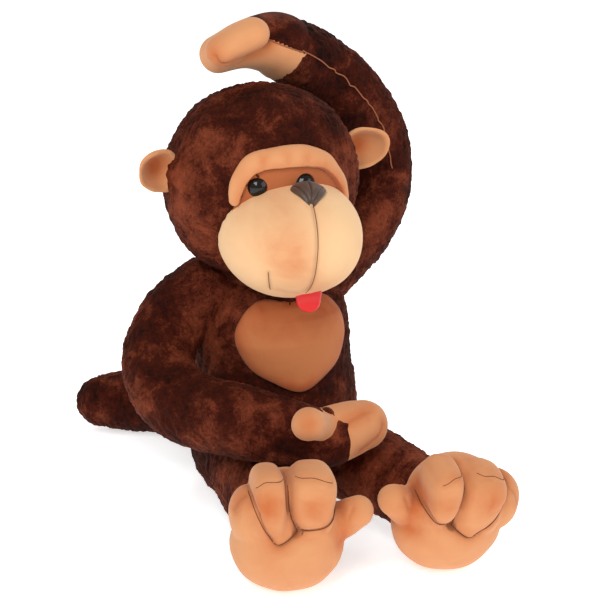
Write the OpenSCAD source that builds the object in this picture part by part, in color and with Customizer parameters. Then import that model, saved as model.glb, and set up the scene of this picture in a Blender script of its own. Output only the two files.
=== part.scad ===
// Stuffed monkey, sitting, one arm bent over its head and one hand in its lap.
// Millimetres. It faces -Y, its own left is +X and up is +Z.
// The origin is the centre of the flat seat, on the floor.

/* [Cloth] */

// Thickness of the plush cloth of the body and limbs
plush_t = 3; // [2:0.5:5]

// Thickness of the velvet patches laid on the plush
patch_t = 2.4; // [1.5:0.1:4]

// Space between a cover and what fills it
fill_gap = 1; // [0.8:0.1:1.5]

// Space between the ball of one body and its socket in the next
socket_gap = 2.2; // [1.8:0.1:3]

/* [Body] */

// Greatest radius of the body, low on the belly
body_r = 84; // [72:1:90]

// Height of the body at the neck
body_h = 240; // [230:1:245]

// Radius of the flat seat
seat_r = 58; // [50:1:64]

// Radius of the neck ball
neck_r = 30; // [26:1:32]

/* [Head] */

// Radius of the head
head_r = 92; // [86:1:93]

// Height of the middle of the head
head_z = 343; // [342:1:352]

// How far the head nods forward, in degrees
head_nod = 8; // [0:1:10]

// How far the face turns to its left, in degrees
head_turn = 2; // [0:1:4]

// Half of the width of the muzzle
muzzle_w = 70; // [60:1:72]

// Half of the height of the muzzle
muzzle_h = 55; // [48:1:57]

// Half of the depth of the muzzle
muzzle_d = 72; // [60:1:74]

// Radius of an eye
eye_r = 12; // [9:0.5:13]

// Half of the spacing of the eyes
eye_x = 23; // [20:0.5:28]

// Radius of an ear
ear_r = 23; // [18:1:25]

/* [Arms] */

// Radius of the arms at the elbow
arm_r = 38; // [34:1:39]

// Radius of the hands across the palm
hand_r = 27; // [22:1:28]

/* [Legs] */

// Radius of the legs at the hip
leg_r = 42; // [36:1:43]

// Radius of the heel of a foot
heel_r = 49; // [42:1:50]

// Radius of the two big toes
toe_r = 24; // [19:1:26]

/* [Tail] */

// Radius of the tail at its thickest
tail_r = 36; // [30:1:37]

/* [Hidden] */

$fn = 48;
sides = 16;
eps = 0.01;

brown = [0.2, 0.07, 0.04];
tan_cloth = [0.8, 0.5, 0.32];
muzzle_cloth = [0.9, 0.68, 0.5];
wadding = [0.93, 0.92, 0.9];
patch_gap = 0.4;
ball_gap = 0.8;
patch_lift = patch_gap + patch_t;

neck_at = [-8, -5, body_h + 7];
head_at = [-20, -10, head_z];
muzzle_at = [3, -84, -30];
eye_up = 16.5;
eye_aside = -6.5;
eye_sink = head_r - 3;
shank_r = 2.5;
washer_r = 9;
washer_t = 2;
ear_out = head_r + 23;
ear_forward = 23;
ear_up = 23;
ear_root = head_r + 2;

// Limb centre lines: x, y, z and radius at each of a few points.
left_arm = [
  [66, 20, 229, arm_r - 1], [107, 36, 258, arm_r + 1], [134, 46, 304, arm_r + 1], [131, 50, 358, arm_r],
  [100, 46, 405, arm_r], [65, 45, 436, arm_r - 1], [21, 31, 464, arm_r - 4], [-6, 22, 471, hand_r + 1],
  [-29, 15, 471, hand_r - 4], [-53, 8, 466, hand_r - 8]
];
right_arm = [
  [-69, 11, 221, arm_r - 2], [-106, 12, 190, arm_r - 1], [-130, -14, 155, arm_r - 2], [-121, -66, 131, arm_r - 1],
  [-81, -128, 131, arm_r - 1], [-39, -154, 123, arm_r - 5], [-13, -162, 117, hand_r + 2],
  [8, -162, 118, hand_r + 2], [26, -161, 121, hand_r], [36, -160, 122, hand_r - 2]
];
right_arm_up = [-0.57, -0.4, 0.72];
left_leg = [
  [50, -58, 52, leg_r], [61, -112, 54, leg_r + 1], [73, -164, 56, leg_r - 2], [86, -216, 56, leg_r - 6], [93, -246, 55, leg_r - 6]
];
right_leg = [
  [-50, -58, 52, leg_r], [-55, -110, 50, leg_r], [-61, -158, 48, leg_r - 3], [-65, -202, 47, leg_r - 6], [-68, -240, 47, leg_r - 6]
];
tail = [
  [5, 92, 44, tail_r - 2], [-35, 148, 38, tail_r], [-87, 186, 37, tail_r], [-121, 200, 35, tail_r - 4], [-131, 204, 34, tail_r - 7]
];

// Where each joint lies along its centre line, and how far the socket's rim stands back.
elbow = 3;
wrist = 6;
ankle = 3;
elbow_back = 19;
wrist_back = 15;
ankle_back = 12;

crotch_y = -43;
crotch_z = leg_r + 56;

// Smooth curve through the points of a centre line.
function unit(v) = v / norm(v);
function curve(a, b, c, d, t) =
  0.5 * (2 * b + (c - a) * t + (2 * a - 5 * b + 4 * c - d) * t * t + (3 * b - a - 3 * c + d) * t * t * t);
function station(path, s) =
  let(i = min(floor(s), len(path) - 2), t = s - i)
  curve(path[max(i - 1, 0)], path[i], path[i + 1], path[min(i + 2, len(path) - 1)], t);
function spot(path, s) = let(q = station(path, s)) [q[0], q[1], q[2]];
function girth(path, s) = station(path, s)[3];
function heading(path, s) = unit(spot(path, min(s + 0.05, len(path) - 1)) - spot(path, max(s - 0.05, 0)));

// A ring is its centre, its direction and its radius.
function tube_rings(path, from, to, count, inset) =
  [for (i = [0:count]) let(s = from + (to - from) * i / count) [spot(path, s), heading(path, s), girth(path, s) - inset]];
function ball_rings(middle, direction, r, from, to, count) =
  [for (i = [0:count]) let(a = from + (to - from) * i / count) [middle + direction * r * sin(a), direction, r * cos(a)]];
function dish_rings(middle, direction, r, back, count) =
  let(start = acos(back / r))
  [for (i = [0:count]) let(a = start + (4 - start) * i / count) [middle - direction * r * cos(a), direction, r * sin(a)]];
function back_ring(path, s, back, r) = [spot(path, s) - heading(path, s) * back, heading(path, s), r];
function flip(list) = [for (i = [len(list) - 1:-1:0]) list[i]];
function ring_points(ring, up) =
  let(u = unit(cross(up, ring[1])), v = cross(ring[1], u))
  [for (k = [0:sides - 1]) ring[0] + ring[2] * (cos(360 * k / sides) * u + sin(360 * k / sides) * v)];

// Closed skin over a row of rings. A looped row closes on itself and has no end caps.
module ringed(rings, up, looped) {
  n = len(rings);
  points = [for (ring = rings) each ring_points(ring, up)];
  rows = looped ? n : n - 1;
  walls = [
    for (i = [0:rows - 1]) for (k = [0:sides - 1])
      let(j = (i + 1) % n, m = (k + 1) % sides)
      each [[i * sides + k, j * sides + k, j * sides + m], [i * sides + k, j * sides + m, i * sides + m]]
  ];
  first_cap = [for (k = [1:sides - 2]) [0, k, k + 1]];
  last_cap = [for (k = [1:sides - 2]) [(n - 1) * sides, (n - 1) * sides + k + 1, (n - 1) * sides + k]];
  polyhedron(points, looped ? walls : concat(walls, first_cap, last_cap));
}

// Cover of a limb section: a round start that is open at its pole, and a rim round the next socket.
module sleeve(path, from, to, back, count, up) {
  start = spot(path, from);
  ahead = heading(path, from);
  r = girth(path, from);
  dish = girth(path, to) + socket_gap;
  rim = girth(path, to);
  stop = to - (back + 15) / norm(spot(path, to) - spot(path, to - 1));
  outer = concat(
    ball_rings(start, ahead, r, -52.02, 0, 3),
    tube_rings(path, from + (stop - from) / count, stop, count - 1, 0),
    [back_ring(path, to, back, rim)]
  );
  inner = concat(
    ball_rings(start, ahead, r - plush_t, -52.02, 0, 3),
    tube_rings(path, from + (stop - from) / count, stop, count - 1, plush_t),
    [
      back_ring(path, to, sqrt(dish * dish - pow(rim - plush_t, 2)) + 0.2, rim - plush_t),
      back_ring(path, to, back, sqrt(dish * dish - back * back))
    ]
  );
  ringed(concat(outer, flip(inner)), up, true);
}

// Filling of a limb section: a ball at its start and a socket at its end.
module stuffing(path, from, to, back, count, up) {
  start = spot(path, from);
  ahead = heading(path, from);
  inset = plush_t + fill_gap;
  r = girth(path, from) - inset;
  dish = girth(path, to) + socket_gap;
  core = girth(path, to) - inset;
  stop = to - (back + 15) / norm(spot(path, to) - spot(path, to - 1));
  rings = concat(
    ball_rings(start, ahead, r, -86.7, 0, 5),
    tube_rings(path, from + (stop - from) / count, stop, count - 1, inset),
    dish_rings(spot(path, to), heading(path, to), dish, sqrt(dish * dish - core * core), 3)
  );
  ringed(rings, up, false);
}

// Closed end of a limb, solid, drawn in by an inset.
module tip_solid(path, from, inset, count, up) {
  last = len(path) - 1;
  rings = concat(
    ball_rings(spot(path, from), heading(path, from), girth(path, from) - inset, -86.7, 0, 5),
    tube_rings(path, from + (last - from) / count, last, count - 1, inset),
    ball_rings(spot(path, last), heading(path, last), girth(path, last) - inset, 28, 84, 2)
  );
  ringed(rings, up, false);
}

// Cover of a closed limb end, open at the pole of its ball.
module tip_cover(path, from, count, up) {
  last = len(path) - 1;
  outer = concat(
    ball_rings(spot(path, from), heading(path, from), girth(path, from), -52.02, 0, 3),
    tube_rings(path, from + (last - from) / count, last, count - 1, 0),
    ball_rings(spot(path, last), heading(path, last), girth(path, last), 28, 84, 2)
  );
  inner = concat(
    ball_rings(spot(path, from), heading(path, from), girth(path, from) - plush_t, -52.02, 0, 3),
    tube_rings(path, from + (last - from) / count, last, count - 1, plush_t),
    ball_rings(spot(path, last), heading(path, last), girth(path, last) - plush_t, 28, 84, 2)
  );
  ringed(concat(flip(inner), outer), up, false);
}

// Body of revolution of the torso, drawn in by an inset.
module torso_shape(inset) {
  profile = [
    [seat_r, 0], [seat_r + 11, 6], [body_r - 4, 26], [body_r, 52], [body_r, 86], [body_r - 3, 118], [body_r - 8, 148],
    [body_r - 12, 182], [body_r - 18, 206], [body_r - 27, 226], [body_r - 40, 237], [body_r - 50, body_h]
  ];
  rotate_extrude()
    polygon(concat(
      [[0, inset]],
      [for (i = [0:len(profile) - 1]) [profile[i][0] - inset, min(max(profile[i][1], inset), body_h - inset)]],
      [[0, body_h - inset]]
    ));
}

// Space in front of the belly for the roots of the legs.
module leg_space(inset) {
  translate([-120, -160 - inset, -1])
    cube([240, 160 + crotch_y + 2 * inset, crotch_z + 1 + inset]);
}

// Sockets that the neck, arms, legs and tail turn in.
module torso_sockets() {
  translate(neck_at) sphere(neck_r + ball_gap);
  translate(spot(left_arm, 0)) sphere(girth(left_arm, 0) + ball_gap);
  translate(spot(right_arm, 0)) sphere(girth(right_arm, 0) + ball_gap);
  translate(spot(right_arm, 0) + [-35, 0, -3]) sphere(arm_r + 28);
  translate(spot(left_leg, 0)) sphere(girth(left_leg, 0) + ball_gap);
  translate(spot(right_leg, 0)) sphere(girth(right_leg, 0) + ball_gap);
  translate(spot(tail, 0)) sphere(girth(tail, 0) + ball_gap);
  translate(spot(tail, 0.4)) sphere(girth(tail, 0.4) + 7);
}

module torso_cover() {
  color(brown)
    difference() {
      torso_shape(0);
      leg_space(0);
      difference() {
        torso_shape(plush_t);
        leg_space(plush_t);
      }
      torso_sockets();
    }
}

module torso_filling() {
  color(wadding)
    difference() {
      torso_shape(plush_t + 2 * fill_gap);
      leg_space(plush_t + 2 * fill_gap);
      torso_sockets();
    }
}

// Shield shape seen from the front: two round shoulders and a point below.
module belly_outline() {
  shoulder = 34;
  polygon(concat(
    [for (a = [-20:11:90]) [24 + shoulder * cos(a), 196 + shoulder * sin(a)]],
    [for (a = [90:11:200]) [-24 + shoulder * cos(a), 196 + shoulder * sin(a)]],
    [[-40, 160], [0, 138], [40, 160]]
  ));
}

module belly_patch() {
  color(tan_cloth)
    difference() {
      intersection() {
        torso_shape(-patch_lift);
        translate([0, -20, 0]) rotate([90, 0, 0]) linear_extrude(100) belly_outline();
      }
      torso_shape(-patch_gap);
      translate([-100, -120, 221]) cube([200, 200, 60]);
      torso_sockets();
    }
}

module neck_cover() {
  color(brown)
    difference() {
      translate(neck_at) sphere(neck_r);
      translate(neck_at) sphere(neck_r - plush_t);
      translate(neck_at) cylinder(h = neck_r + 5, r = 9);
    }
}

module neck_filling() {
  color(wadding) translate(neck_at) sphere(neck_r - plush_t - fill_gap);
}

// Places its children in the head's own frame.
module on_head() {
  translate(head_at) rotate([head_nod, 0, 0]) rotate([0, 0, head_turn]) children();
}

// Direction from the middle of the head to an eye, as a rotation of +Z.
module at_eye(side) {
  rotate([0, 0, eye_aside + side * asin(eye_x / (eye_sink * cos(eye_up)))]) rotate([90 - eye_up, 0, 0]) children();
}

module muzzle_shape(inset) {
  translate(muzzle_at)
    scale([muzzle_w - inset, muzzle_d - inset, muzzle_h - inset]) sphere(1);
}

module eye_ball(extra) {
  for (side = [-1, 1])
    at_eye(side) translate([0, 0, eye_sink]) sphere(eye_r + extra);
}

module head_cover() {
  color(brown)
    difference() {
      on_head() sphere(head_r);
      on_head() sphere(head_r - plush_t);
      on_head() for (side = [-1, 1]) at_eye(side) translate([0, 0, head_r - 10]) cylinder(h = 20, r = shank_r + 0.4);
      translate(neck_at) sphere(neck_r + ball_gap);
    }
}

module head_filling() {
  color(wadding)
    difference() {
      on_head() sphere(head_r - plush_t - fill_gap);
      on_head() for (side = [-1, 1]) at_eye(side) translate([0, 0, head_r - 20]) cylinder(h = 30, r = washer_r + 0.6);
      translate(neck_at) sphere(neck_r + ball_gap);
    }
}

module brow_patch() {
  color(tan_cloth)
    on_head()
      difference() {
        sphere(head_r + patch_lift);
        sphere(head_r + patch_gap);
        difference() {
          translate([-150, -150, -150]) cube(300);
          rotate([90, 0, 0])
            linear_extrude(140)
              union() {
                translate([-20, 27]) circle(34);
                translate([30, 27]) circle(34);
                translate([-20, 27]) square([50, 32]);
                translate([-47, 4]) square([104, 18]);
              }
        }
        muzzle_shape(-patch_gap);
        eye_ball(0.5);
      }
}

module muzzle_cover() {
  color(muzzle_cloth)
    on_head()
      difference() {
        muzzle_shape(0);
        muzzle_shape(plush_t);
        sphere(head_r + patch_gap);
        eye_ball(0.5);
      }
}

module muzzle_filling() {
  color(wadding)
    on_head()
      difference() {
        muzzle_shape(plush_t + fill_gap);
        sphere(head_r + patch_gap);
        eye_ball(0.5);
      }
}

module nose() {
  color([0.2, 0.1, 0.07])
    on_head()
      difference() {
        hull() {
          translate([-1, -105, 21]) sphere(7, $fn = 24);
          translate([20, -106, 20]) sphere(7, $fn = 24);
          translate([7, -125, 12]) sphere(6, $fn = 24);
        }
        muzzle_shape(-patch_gap);
      }
}

module tongue() {
  color([0.75, 0.06, 0.05])
    on_head()
      difference() {
        translate([6, -120, -80]) rotate([52, 0, 0])
          hull() {
            translate([-7, 4, 0]) cylinder(h = 3, r = 6);
            translate([7, 4, 0]) cylinder(h = 3, r = 6);
            translate([0, -9, 0]) cylinder(h = 3, r = 9);
          }
        muzzle_shape(-patch_gap);
      }
}

module eye(side) {
  color([0.02, 0.015, 0.015])
    on_head()
      union() {
        difference() {
          at_eye(side) translate([0, 0, eye_sink]) sphere(eye_r);
          sphere(head_r + patch_gap);
        }
        at_eye(side) translate([0, 0, head_r - 16]) cylinder(h = 19, r = shank_r);
      }
}

module left_eye() {
  eye(1);
}

module right_eye() {
  eye(-1);
}

module eye_washer(side) {
  color([0.85, 0.85, 0.82])
    on_head()
      at_eye(side)
        translate([0, 0, head_r - plush_t - washer_t - 1.2])
          difference() {
            cylinder(h = washer_t, r = washer_r);
            translate([0, 0, -1]) cylinder(h = washer_t + 2, r = shank_r + 0.4);
          }
}

module left_eye_washer() {
  eye_washer(1);
}

module right_eye_washer() {
  eye_washer(-1);
}

// One layer of an ear: a shallow bowl that opens forward, cut straight along its root.
module ear_bowl(side, bowl, layer) {
  translate([side * ear_out, -ear_forward, ear_up])
    difference() {
      translate([0, -ear_r + 10, 0]) sphere(bowl + 2);
      translate([0, -ear_r + 10, 0]) sphere(bowl + 2 - layer);
      translate([-60, -160 + 2 - 6, -60]) cube([120, 160, 120]);
      translate([side * (ear_root - ear_out) - (side > 0 ? 60 : 0), -60, -60]) cube([60, 120, 120]);
    }
}

module left_ear_back() {
  color(brown) on_head() ear_bowl(1, ear_r, 3);
}

module left_ear_front() {
  color(tan_cloth) on_head() ear_bowl(1, ear_r - 3 - patch_gap, 3);
}

module right_ear_back() {
  color(brown) on_head() ear_bowl(-1, ear_r, 3);
}

module right_ear_front() {
  color(tan_cloth) on_head() ear_bowl(-1, ear_r - 3 - patch_gap, 3);
}

module left_upper_arm_cover() {
  color(brown) sleeve(left_arm, 0, elbow, elbow_back, 6, [0, 1, 0]);
}

module left_upper_arm_filling() {
  color(wadding) stuffing(left_arm, 0, elbow, elbow_back, 6, [0, 1, 0]);
}

module left_forearm_cover() {
  color(brown) sleeve(left_arm, elbow, wrist, wrist_back, 6, [0, 1, 0]);
}

module left_forearm_filling() {
  color(wadding) stuffing(left_arm, elbow, wrist, wrist_back, 6, [0, 1, 0]);
}

module left_hand_cover() {
  color(tan_cloth) tip_cover(left_arm, wrist, 5, [0, 1, 0]);
}

module left_hand_filling() {
  color(wadding) tip_solid(left_arm, wrist, plush_t + fill_gap, 5, [0, 1, 0]);
}

module left_thumb() {
  color(tan_cloth)
    difference() {
      hull() {
        translate([-22, -8, 487]) sphere(hand_r - 10, $fn = 24);
        translate([-54, -8, 472]) sphere(hand_r - 10, $fn = 24);
      }
      tip_solid(left_arm, wrist, -patch_gap, 5, [0, 1, 0]);
    }
}

module right_upper_arm_cover() {
  color(brown) sleeve(right_arm, 0, elbow, elbow_back, 6, right_arm_up);
}

module right_upper_arm_filling() {
  color(wadding) stuffing(right_arm, 0, elbow, elbow_back, 6, right_arm_up);
}

module right_forearm_cover() {
  color(brown) sleeve(right_arm, elbow, wrist, wrist_back, 6, [0, 0, 1]);
}

module right_forearm_filling() {
  color(wadding) stuffing(right_arm, elbow, wrist, wrist_back, 6, [0, 0, 1]);
}

module right_hand_cover() {
  color(tan_cloth) tip_cover(right_arm, wrist, 5, [0, 0, 1]);
}

module right_hand_filling() {
  color(wadding) tip_solid(right_arm, wrist, plush_t + fill_gap, 5, [0, 0, 1]);
}

module right_thumb() {
  color(tan_cloth)
    difference() {
      hull() {
        translate([-40, -207, 152]) sphere(hand_r - 11, $fn = 24);
        translate([4, -192, 134]) sphere(hand_r - 12, $fn = 24);
      }
      tip_solid(right_arm, wrist, -patch_gap, 5, [0, 0, 1]);
    }
}

module left_leg_cover() {
  color(brown) sleeve(left_leg, 0, ankle, ankle_back, 5, [0, 0, 1]);
}

module left_leg_filling() {
  color(wadding) stuffing(left_leg, 0, ankle, ankle_back, 5, [0, 0, 1]);
}

module right_leg_cover() {
  color(brown) sleeve(right_leg, 0, ankle, ankle_back, 5, [0, 0, 1]);
}

module right_leg_filling() {
  color(wadding) stuffing(right_leg, 0, ankle, ankle_back, 5, [0, 0, 1]);
}

// Foot in its own frame: the origin is the ankle, the sole faces -Y and the big toe side is +X.
module foot_shape(inset) {
  union() {
    sphere(leg_r - 6 - inset);
    translate([0, -36, heel_r - 46]) sphere(heel_r - inset);
    translate([0, -38, 32]) sphere(heel_r - 6 - inset);
    translate([-19, -50, 58]) sphere(toe_r - inset);
    translate([18, -52, 59]) sphere(toe_r - inset);
    translate([-44, -44, 38]) sphere(toe_r - 4 - inset);
    translate([44, -38, 27]) sphere(toe_r - 4 - inset);
    translate([62, -38, 31]) sphere(toe_r - 9 - inset);
  }
}

module foot_cover() {
  difference() {
    foot_shape(0);
    foot_shape(plush_t);
    translate([0, 10, 0]) rotate([-90, 0, 0]) cylinder(h = 40, r = 20);
  }
}

module at_left_foot() {
  translate(spot(left_leg, ankle)) rotate([0, 10, 0]) rotate([14, 0, 0]) mirror([1, 0, 0]) children();
}

module at_right_foot() {
  translate(spot(right_leg, ankle)) rotate([0, 0, -13]) children();
}

module left_foot_cover() {
  color(tan_cloth) at_left_foot() foot_cover();
}

module left_foot_filling() {
  color(wadding) at_left_foot() foot_shape(plush_t + fill_gap);
}

module right_foot_cover() {
  color(tan_cloth) at_right_foot() foot_cover();
}

module right_foot_filling() {
  color(wadding) at_right_foot() foot_shape(plush_t + fill_gap);
}

module tail_cover() {
  color(brown) tip_cover(tail, 0, 7, [0, 0, 1]);
}

module tail_filling() {
  color(wadding) tip_solid(tail, 0, plush_t + fill_gap, 7, [0, 0, 1]);
}

torso_cover();
torso_filling();
belly_patch();
neck_cover();
neck_filling();
head_cover();
head_filling();
brow_patch();
muzzle_cover();
muzzle_filling();
nose();
tongue();
left_eye();
right_eye();
left_eye_washer();
right_eye_washer();
left_ear_back();
left_ear_front();
right_ear_back();
right_ear_front();
left_upper_arm_cover();
left_upper_arm_filling();
left_forearm_cover();
left_forearm_filling();
left_hand_cover();
left_hand_filling();
left_thumb();
right_upper_arm_cover();
right_upper_arm_filling();
right_forearm_cover();
right_forearm_filling();
right_hand_cover();
right_hand_filling();
right_thumb();
left_leg_cover();
left_leg_filling();
left_foot_cover();
left_foot_filling();
right_leg_cover();
right_leg_filling();
right_foot_cover();
right_foot_filling();
tail_cover();
tail_filling();
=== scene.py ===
import math
import bpy
import bmesh
import numpy as np
from mathutils import Matrix, Vector, noise
from mathutils.bvhtree import BVHTree


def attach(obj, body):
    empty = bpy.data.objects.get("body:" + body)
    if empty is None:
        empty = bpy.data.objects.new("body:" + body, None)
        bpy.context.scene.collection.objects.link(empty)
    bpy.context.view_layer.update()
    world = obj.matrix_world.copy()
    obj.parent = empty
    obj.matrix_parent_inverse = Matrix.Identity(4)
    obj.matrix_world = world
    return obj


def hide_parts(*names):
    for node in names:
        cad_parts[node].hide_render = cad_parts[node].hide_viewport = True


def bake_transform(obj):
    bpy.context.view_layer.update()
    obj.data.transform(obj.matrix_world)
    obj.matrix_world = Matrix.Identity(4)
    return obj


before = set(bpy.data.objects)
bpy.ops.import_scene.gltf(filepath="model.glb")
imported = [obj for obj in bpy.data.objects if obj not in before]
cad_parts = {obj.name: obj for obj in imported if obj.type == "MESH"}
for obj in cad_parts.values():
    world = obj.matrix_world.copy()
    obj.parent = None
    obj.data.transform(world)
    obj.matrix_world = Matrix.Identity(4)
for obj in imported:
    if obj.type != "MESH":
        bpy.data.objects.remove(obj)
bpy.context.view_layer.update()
mm = 0.001
print("frame loaded")

camera = dict(
    azimuth=-21.0, elevation=19.0, distance=2.0, lens=120.0, aim=(-0.005, -0.060, 0.262),
    slide=(0.012, -0.035)
)


def viewAxes(azimuth, elevation):
    a, e = math.radians(azimuth), math.radians(elevation)
    back = Vector((math.sin(a) * math.cos(e), -math.cos(a) * math.cos(e), math.sin(e)))
    right = Vector((math.cos(a), math.sin(a), 0))
    return back, right, back.cross(right)


def placeCamera(c):
    back, right, up = viewAxes(c["azimuth"], c["elevation"])
    aim = Vector(c["aim"]) + right * c["slide"][0] + up * c["slide"][1]
    data = bpy.data.cameras.new("camera")
    data.lens = c["lens"]
    data.clip_end = 50
    obj = bpy.data.objects.new("camera", data)
    bpy.context.scene.collection.objects.link(obj)
    obj.matrix_world = Matrix.Translation(
        aim + back * c["distance"]
    ) @ Matrix((right, up, back)).transposed().to_4x4()
    bpy.context.scene.camera = obj


def areaLight(name, place, target, size, power, colour=(1, 1, 1)):
    data = bpy.data.lights.new(name, "AREA")
    data.size, data.energy, data.color = size, power, colour
    obj = bpy.data.objects.new(name, data)
    bpy.context.scene.collection.objects.link(obj)
    obj.location = place
    obj.rotation_euler = (Vector(target) - Vector(place)).to_track_quat("-Z", "Y").to_euler()


placeCamera(camera)
areaLight("keyLight", (-1.0, -1.5, 1.9), (0, -0.05, 0.22), 1.1, 30)
areaLight("fillLight", (1.6, -1.3, 1.0), (0, -0.05, 0.22), 1.4, 10)
areaLight("rimLight", (0.8, 1.4, 1.6), (0, 0, 0.3), 0.9, 14)
areaLight("leftSpark", (-0.95, -1.55, 1.12), (0, -0.1, 0.36), 0.1, 2.0)
areaLight("rightSpark", (-0.62, -1.68, 1.12), (0, -0.1, 0.36), 0.1, 2.0)
world = bpy.data.worlds.new("studio")
bpy.context.scene.world = world
world.use_nodes = True
world.node_tree.nodes["Background"].inputs[0].default_value = (1, 1, 1, 1)
world.node_tree.nodes["Background"].inputs[1].default_value = 0.42
bpy.context.scene.view_settings.view_transform = "Standard"


class Wire:
    def __init__(self, tree, socket=None):
        self.tree, self.socket = tree, socket

    def node(self, kind, settings=None, values=None, out=0):
        made = self.tree.nodes.new(kind)
        for key, value in (settings or {}).items():
            if key == "stops":
                ramp = made.color_ramp.elements
                while len(ramp) < len(value):
                    ramp.new(0.5)
                for item, (at, colour) in zip(ramp, value):
                    item.position, item.color = at, (*colour, 1)
            else:
                setattr(made, key, value)
        for key, value in (values or {}).items():
            socket = made.inputs[key]
            if isinstance(value, Wire):
                self.tree.links.new(value.socket, socket)
            else:
                socket.default_value = value
        return Wire(self.tree, made.outputs[out])

    def maths(self, how, a, b, clamp=False):
        return self.node("ShaderNodeMath", {"operation": how, "use_clamp": clamp}, {0: a, 1: b})

    def __add__(self, other): return self.maths("ADD", self, other)
    def __sub__(self, other): return self.maths("SUBTRACT", self, other)
    def __rsub__(self, other): return self.maths("SUBTRACT", other, self)
    def __mul__(self, other): return self.maths("MULTIPLY", self, other)
    __radd__, __rmul__ = __add__, __mul__


def colourMix(wire, amount, a, b):
    return wire.node("ShaderNodeMix", {"data_type": "RGBA"}, {0: amount, 6: a, 7: b}, out=2)


def newMaterial(name):
    made = bpy.data.materials.new(name)
    made.use_nodes = True
    tree = made.node_tree
    shader = tree.nodes["Principled BSDF"]
    return made, Wire(tree), shader


def feed(wire, shader, **links):
    for key, value in links.items():
        wire.tree.links.new(value.socket, shader.inputs[key.replace("_", " ")])


def plushMaterial(name, deep, middle, napHighlight, patch=34.0, bumpHeight=0.0012):
    made, w, shader = newMaterial(name)
    place = w.node("ShaderNodeTexCoord", out=3)
    patches = w.node(
        "ShaderNodeTexNoise", None,
        {"Vector": place, "Scale": patch, "Detail": 5.0, "Roughness": 0.62, "Distortion": 0.5}
    )
    broad = w.node(
        "ShaderNodeTexNoise", None,
        {"Vector": place, "Scale": patch * 0.28, "Detail": 2.0, "Roughness": 0.5}
    )
    fibre = w.node(
        "ShaderNodeTexNoise", None, {"Vector": place, "Scale": 620.0, "Detail": 3.0, "Roughness": 0.7}
    )
    tuft = w.node(
        "ShaderNodeTexNoise", None,
        {"Vector": place, "Scale": 190.0, "Detail": 4.0, "Roughness": 0.65, "Distortion": 1.4}
    )
    # mottle of lighter and darker brown: partly random tone of the pile, partly painted sheen where the
    # brushed nap catches the light; the brightest stop is a painted highlight
    tone = patches * 0.45 + broad * 0.4 + tuft * 0.2 + fibre * 0.12
    colour = tone.node(
        "ShaderNodeValToRGB", {"stops": [(0.46, deep), (0.58, middle), (0.72, napHighlight)]}, {0: tone}
    )
    # painted groove shade: darker along the marked seams and folds
    seam = w.node("ShaderNodeAttribute", {"attribute_name": "seam"}, out=2)
    colour = colourMix(w, seam * 0.75, colour, (deep[0] * 0.4, deep[1] * 0.4, deep[2] * 0.4, 1))
    height = tuft * 0.6 + fibre * 0.5
    bump = w.node("ShaderNodeBump", None, {"Strength": 0.75, "Distance": bumpHeight, "Height": height})
    feed(w, shader, Base_Color=colour, Normal=bump)
    shader.inputs["Roughness"].default_value = 0.82
    shader.inputs["Specular IOR Level"].default_value = 0.08
    shader.inputs["Sheen Weight"].default_value = 0.07
    shader.inputs["Sheen Roughness"].default_value = 0.42
    shader.inputs["Sheen Tint"].default_value = (0.75, 0.26, 0.14, 1)
    return made


def velvetMaterial(name, base, warm, dark, mottle=22.0, sheen=0.25):
    made, w, shader = newMaterial(name)
    place = w.node("ShaderNodeTexCoord", out=3)
    cloud = w.node(
        "ShaderNodeTexNoise", None,
        {"Vector": place, "Scale": mottle, "Detail": 3.0, "Roughness": 0.55, "Distortion": 0.5}
    )
    grain = w.node(
        "ShaderNodeTexNoise", None, {"Vector": place, "Scale": 900.0, "Detail": 2.0, "Roughness": 0.6}
    )
    nap = w.node(
        "ShaderNodeTexNoise", None,
        {"Vector": place, "Scale": 150.0, "Detail": 4.0, "Roughness": 0.6, "Distortion": 0.8}
    )
    blush = w.node("ShaderNodeAttribute", {"attribute_name": "blush"}, out=2)
    seam = w.node("ShaderNodeAttribute", {"attribute_name": "seam"}, out=2)
    patch = w.node("ShaderNodeMapRange", {"clamp": True}, {0: cloud, 1: 0.42, 2: 0.68, 3: 0.0, 4: 0.45})
    # painted shade: the warm colour spreads into the hollows, folds and sewn edges marked on the skin;
    # the cloud patches alone are random tone
    amount = w.maths("ADD", patch * (0.5 + blush), blush * 0.85, clamp=True)
    colour = colourMix(w, amount, (*base, 1), (*warm, 1))
    colour = colourMix(
        w, w.maths("MULTIPLY", grain, 0.16), colour, (base[0] * 1.12, base[1] * 1.14, base[2] * 1.15, 1)
    )
    # painted groove shade: dark along the marked seams and folds
    colour = colourMix(w, w.maths("MULTIPLY", seam, 0.85, clamp=True), colour, (*dark, 1))
    bump = w.node(
        "ShaderNodeBump", None,
        {"Strength": 0.35, "Distance": 0.0006, "Height": grain * 0.6 + nap * 0.5}
    )
    feed(w, shader, Base_Color=colour, Normal=bump)
    shader.inputs["Roughness"].default_value = 0.86
    shader.inputs["Specular IOR Level"].default_value = 0.18
    shader.inputs["Sheen Weight"].default_value = sheen
    shader.inputs["Sheen Roughness"].default_value = 0.5
    shader.inputs["Sheen Tint"].default_value = (1, 0.82, 0.66, 1)
    return made


def glossMaterial(name, colour, roughness, coat=0.0):
    made, w, shader = newMaterial(name)
    place = w.node("ShaderNodeTexCoord", out=3)
    dust = w.node("ShaderNodeTexNoise", None, {"Vector": place, "Scale": 260.0, "Detail": 2.0})
    feed(w, shader, Roughness=dust * 0.05 + roughness)
    shader.inputs["Base Color"].default_value = (*colour, 1)
    shader.inputs["Coat Weight"].default_value = coat
    shader.inputs["Coat Roughness"].default_value = 0.03
    return made


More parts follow.
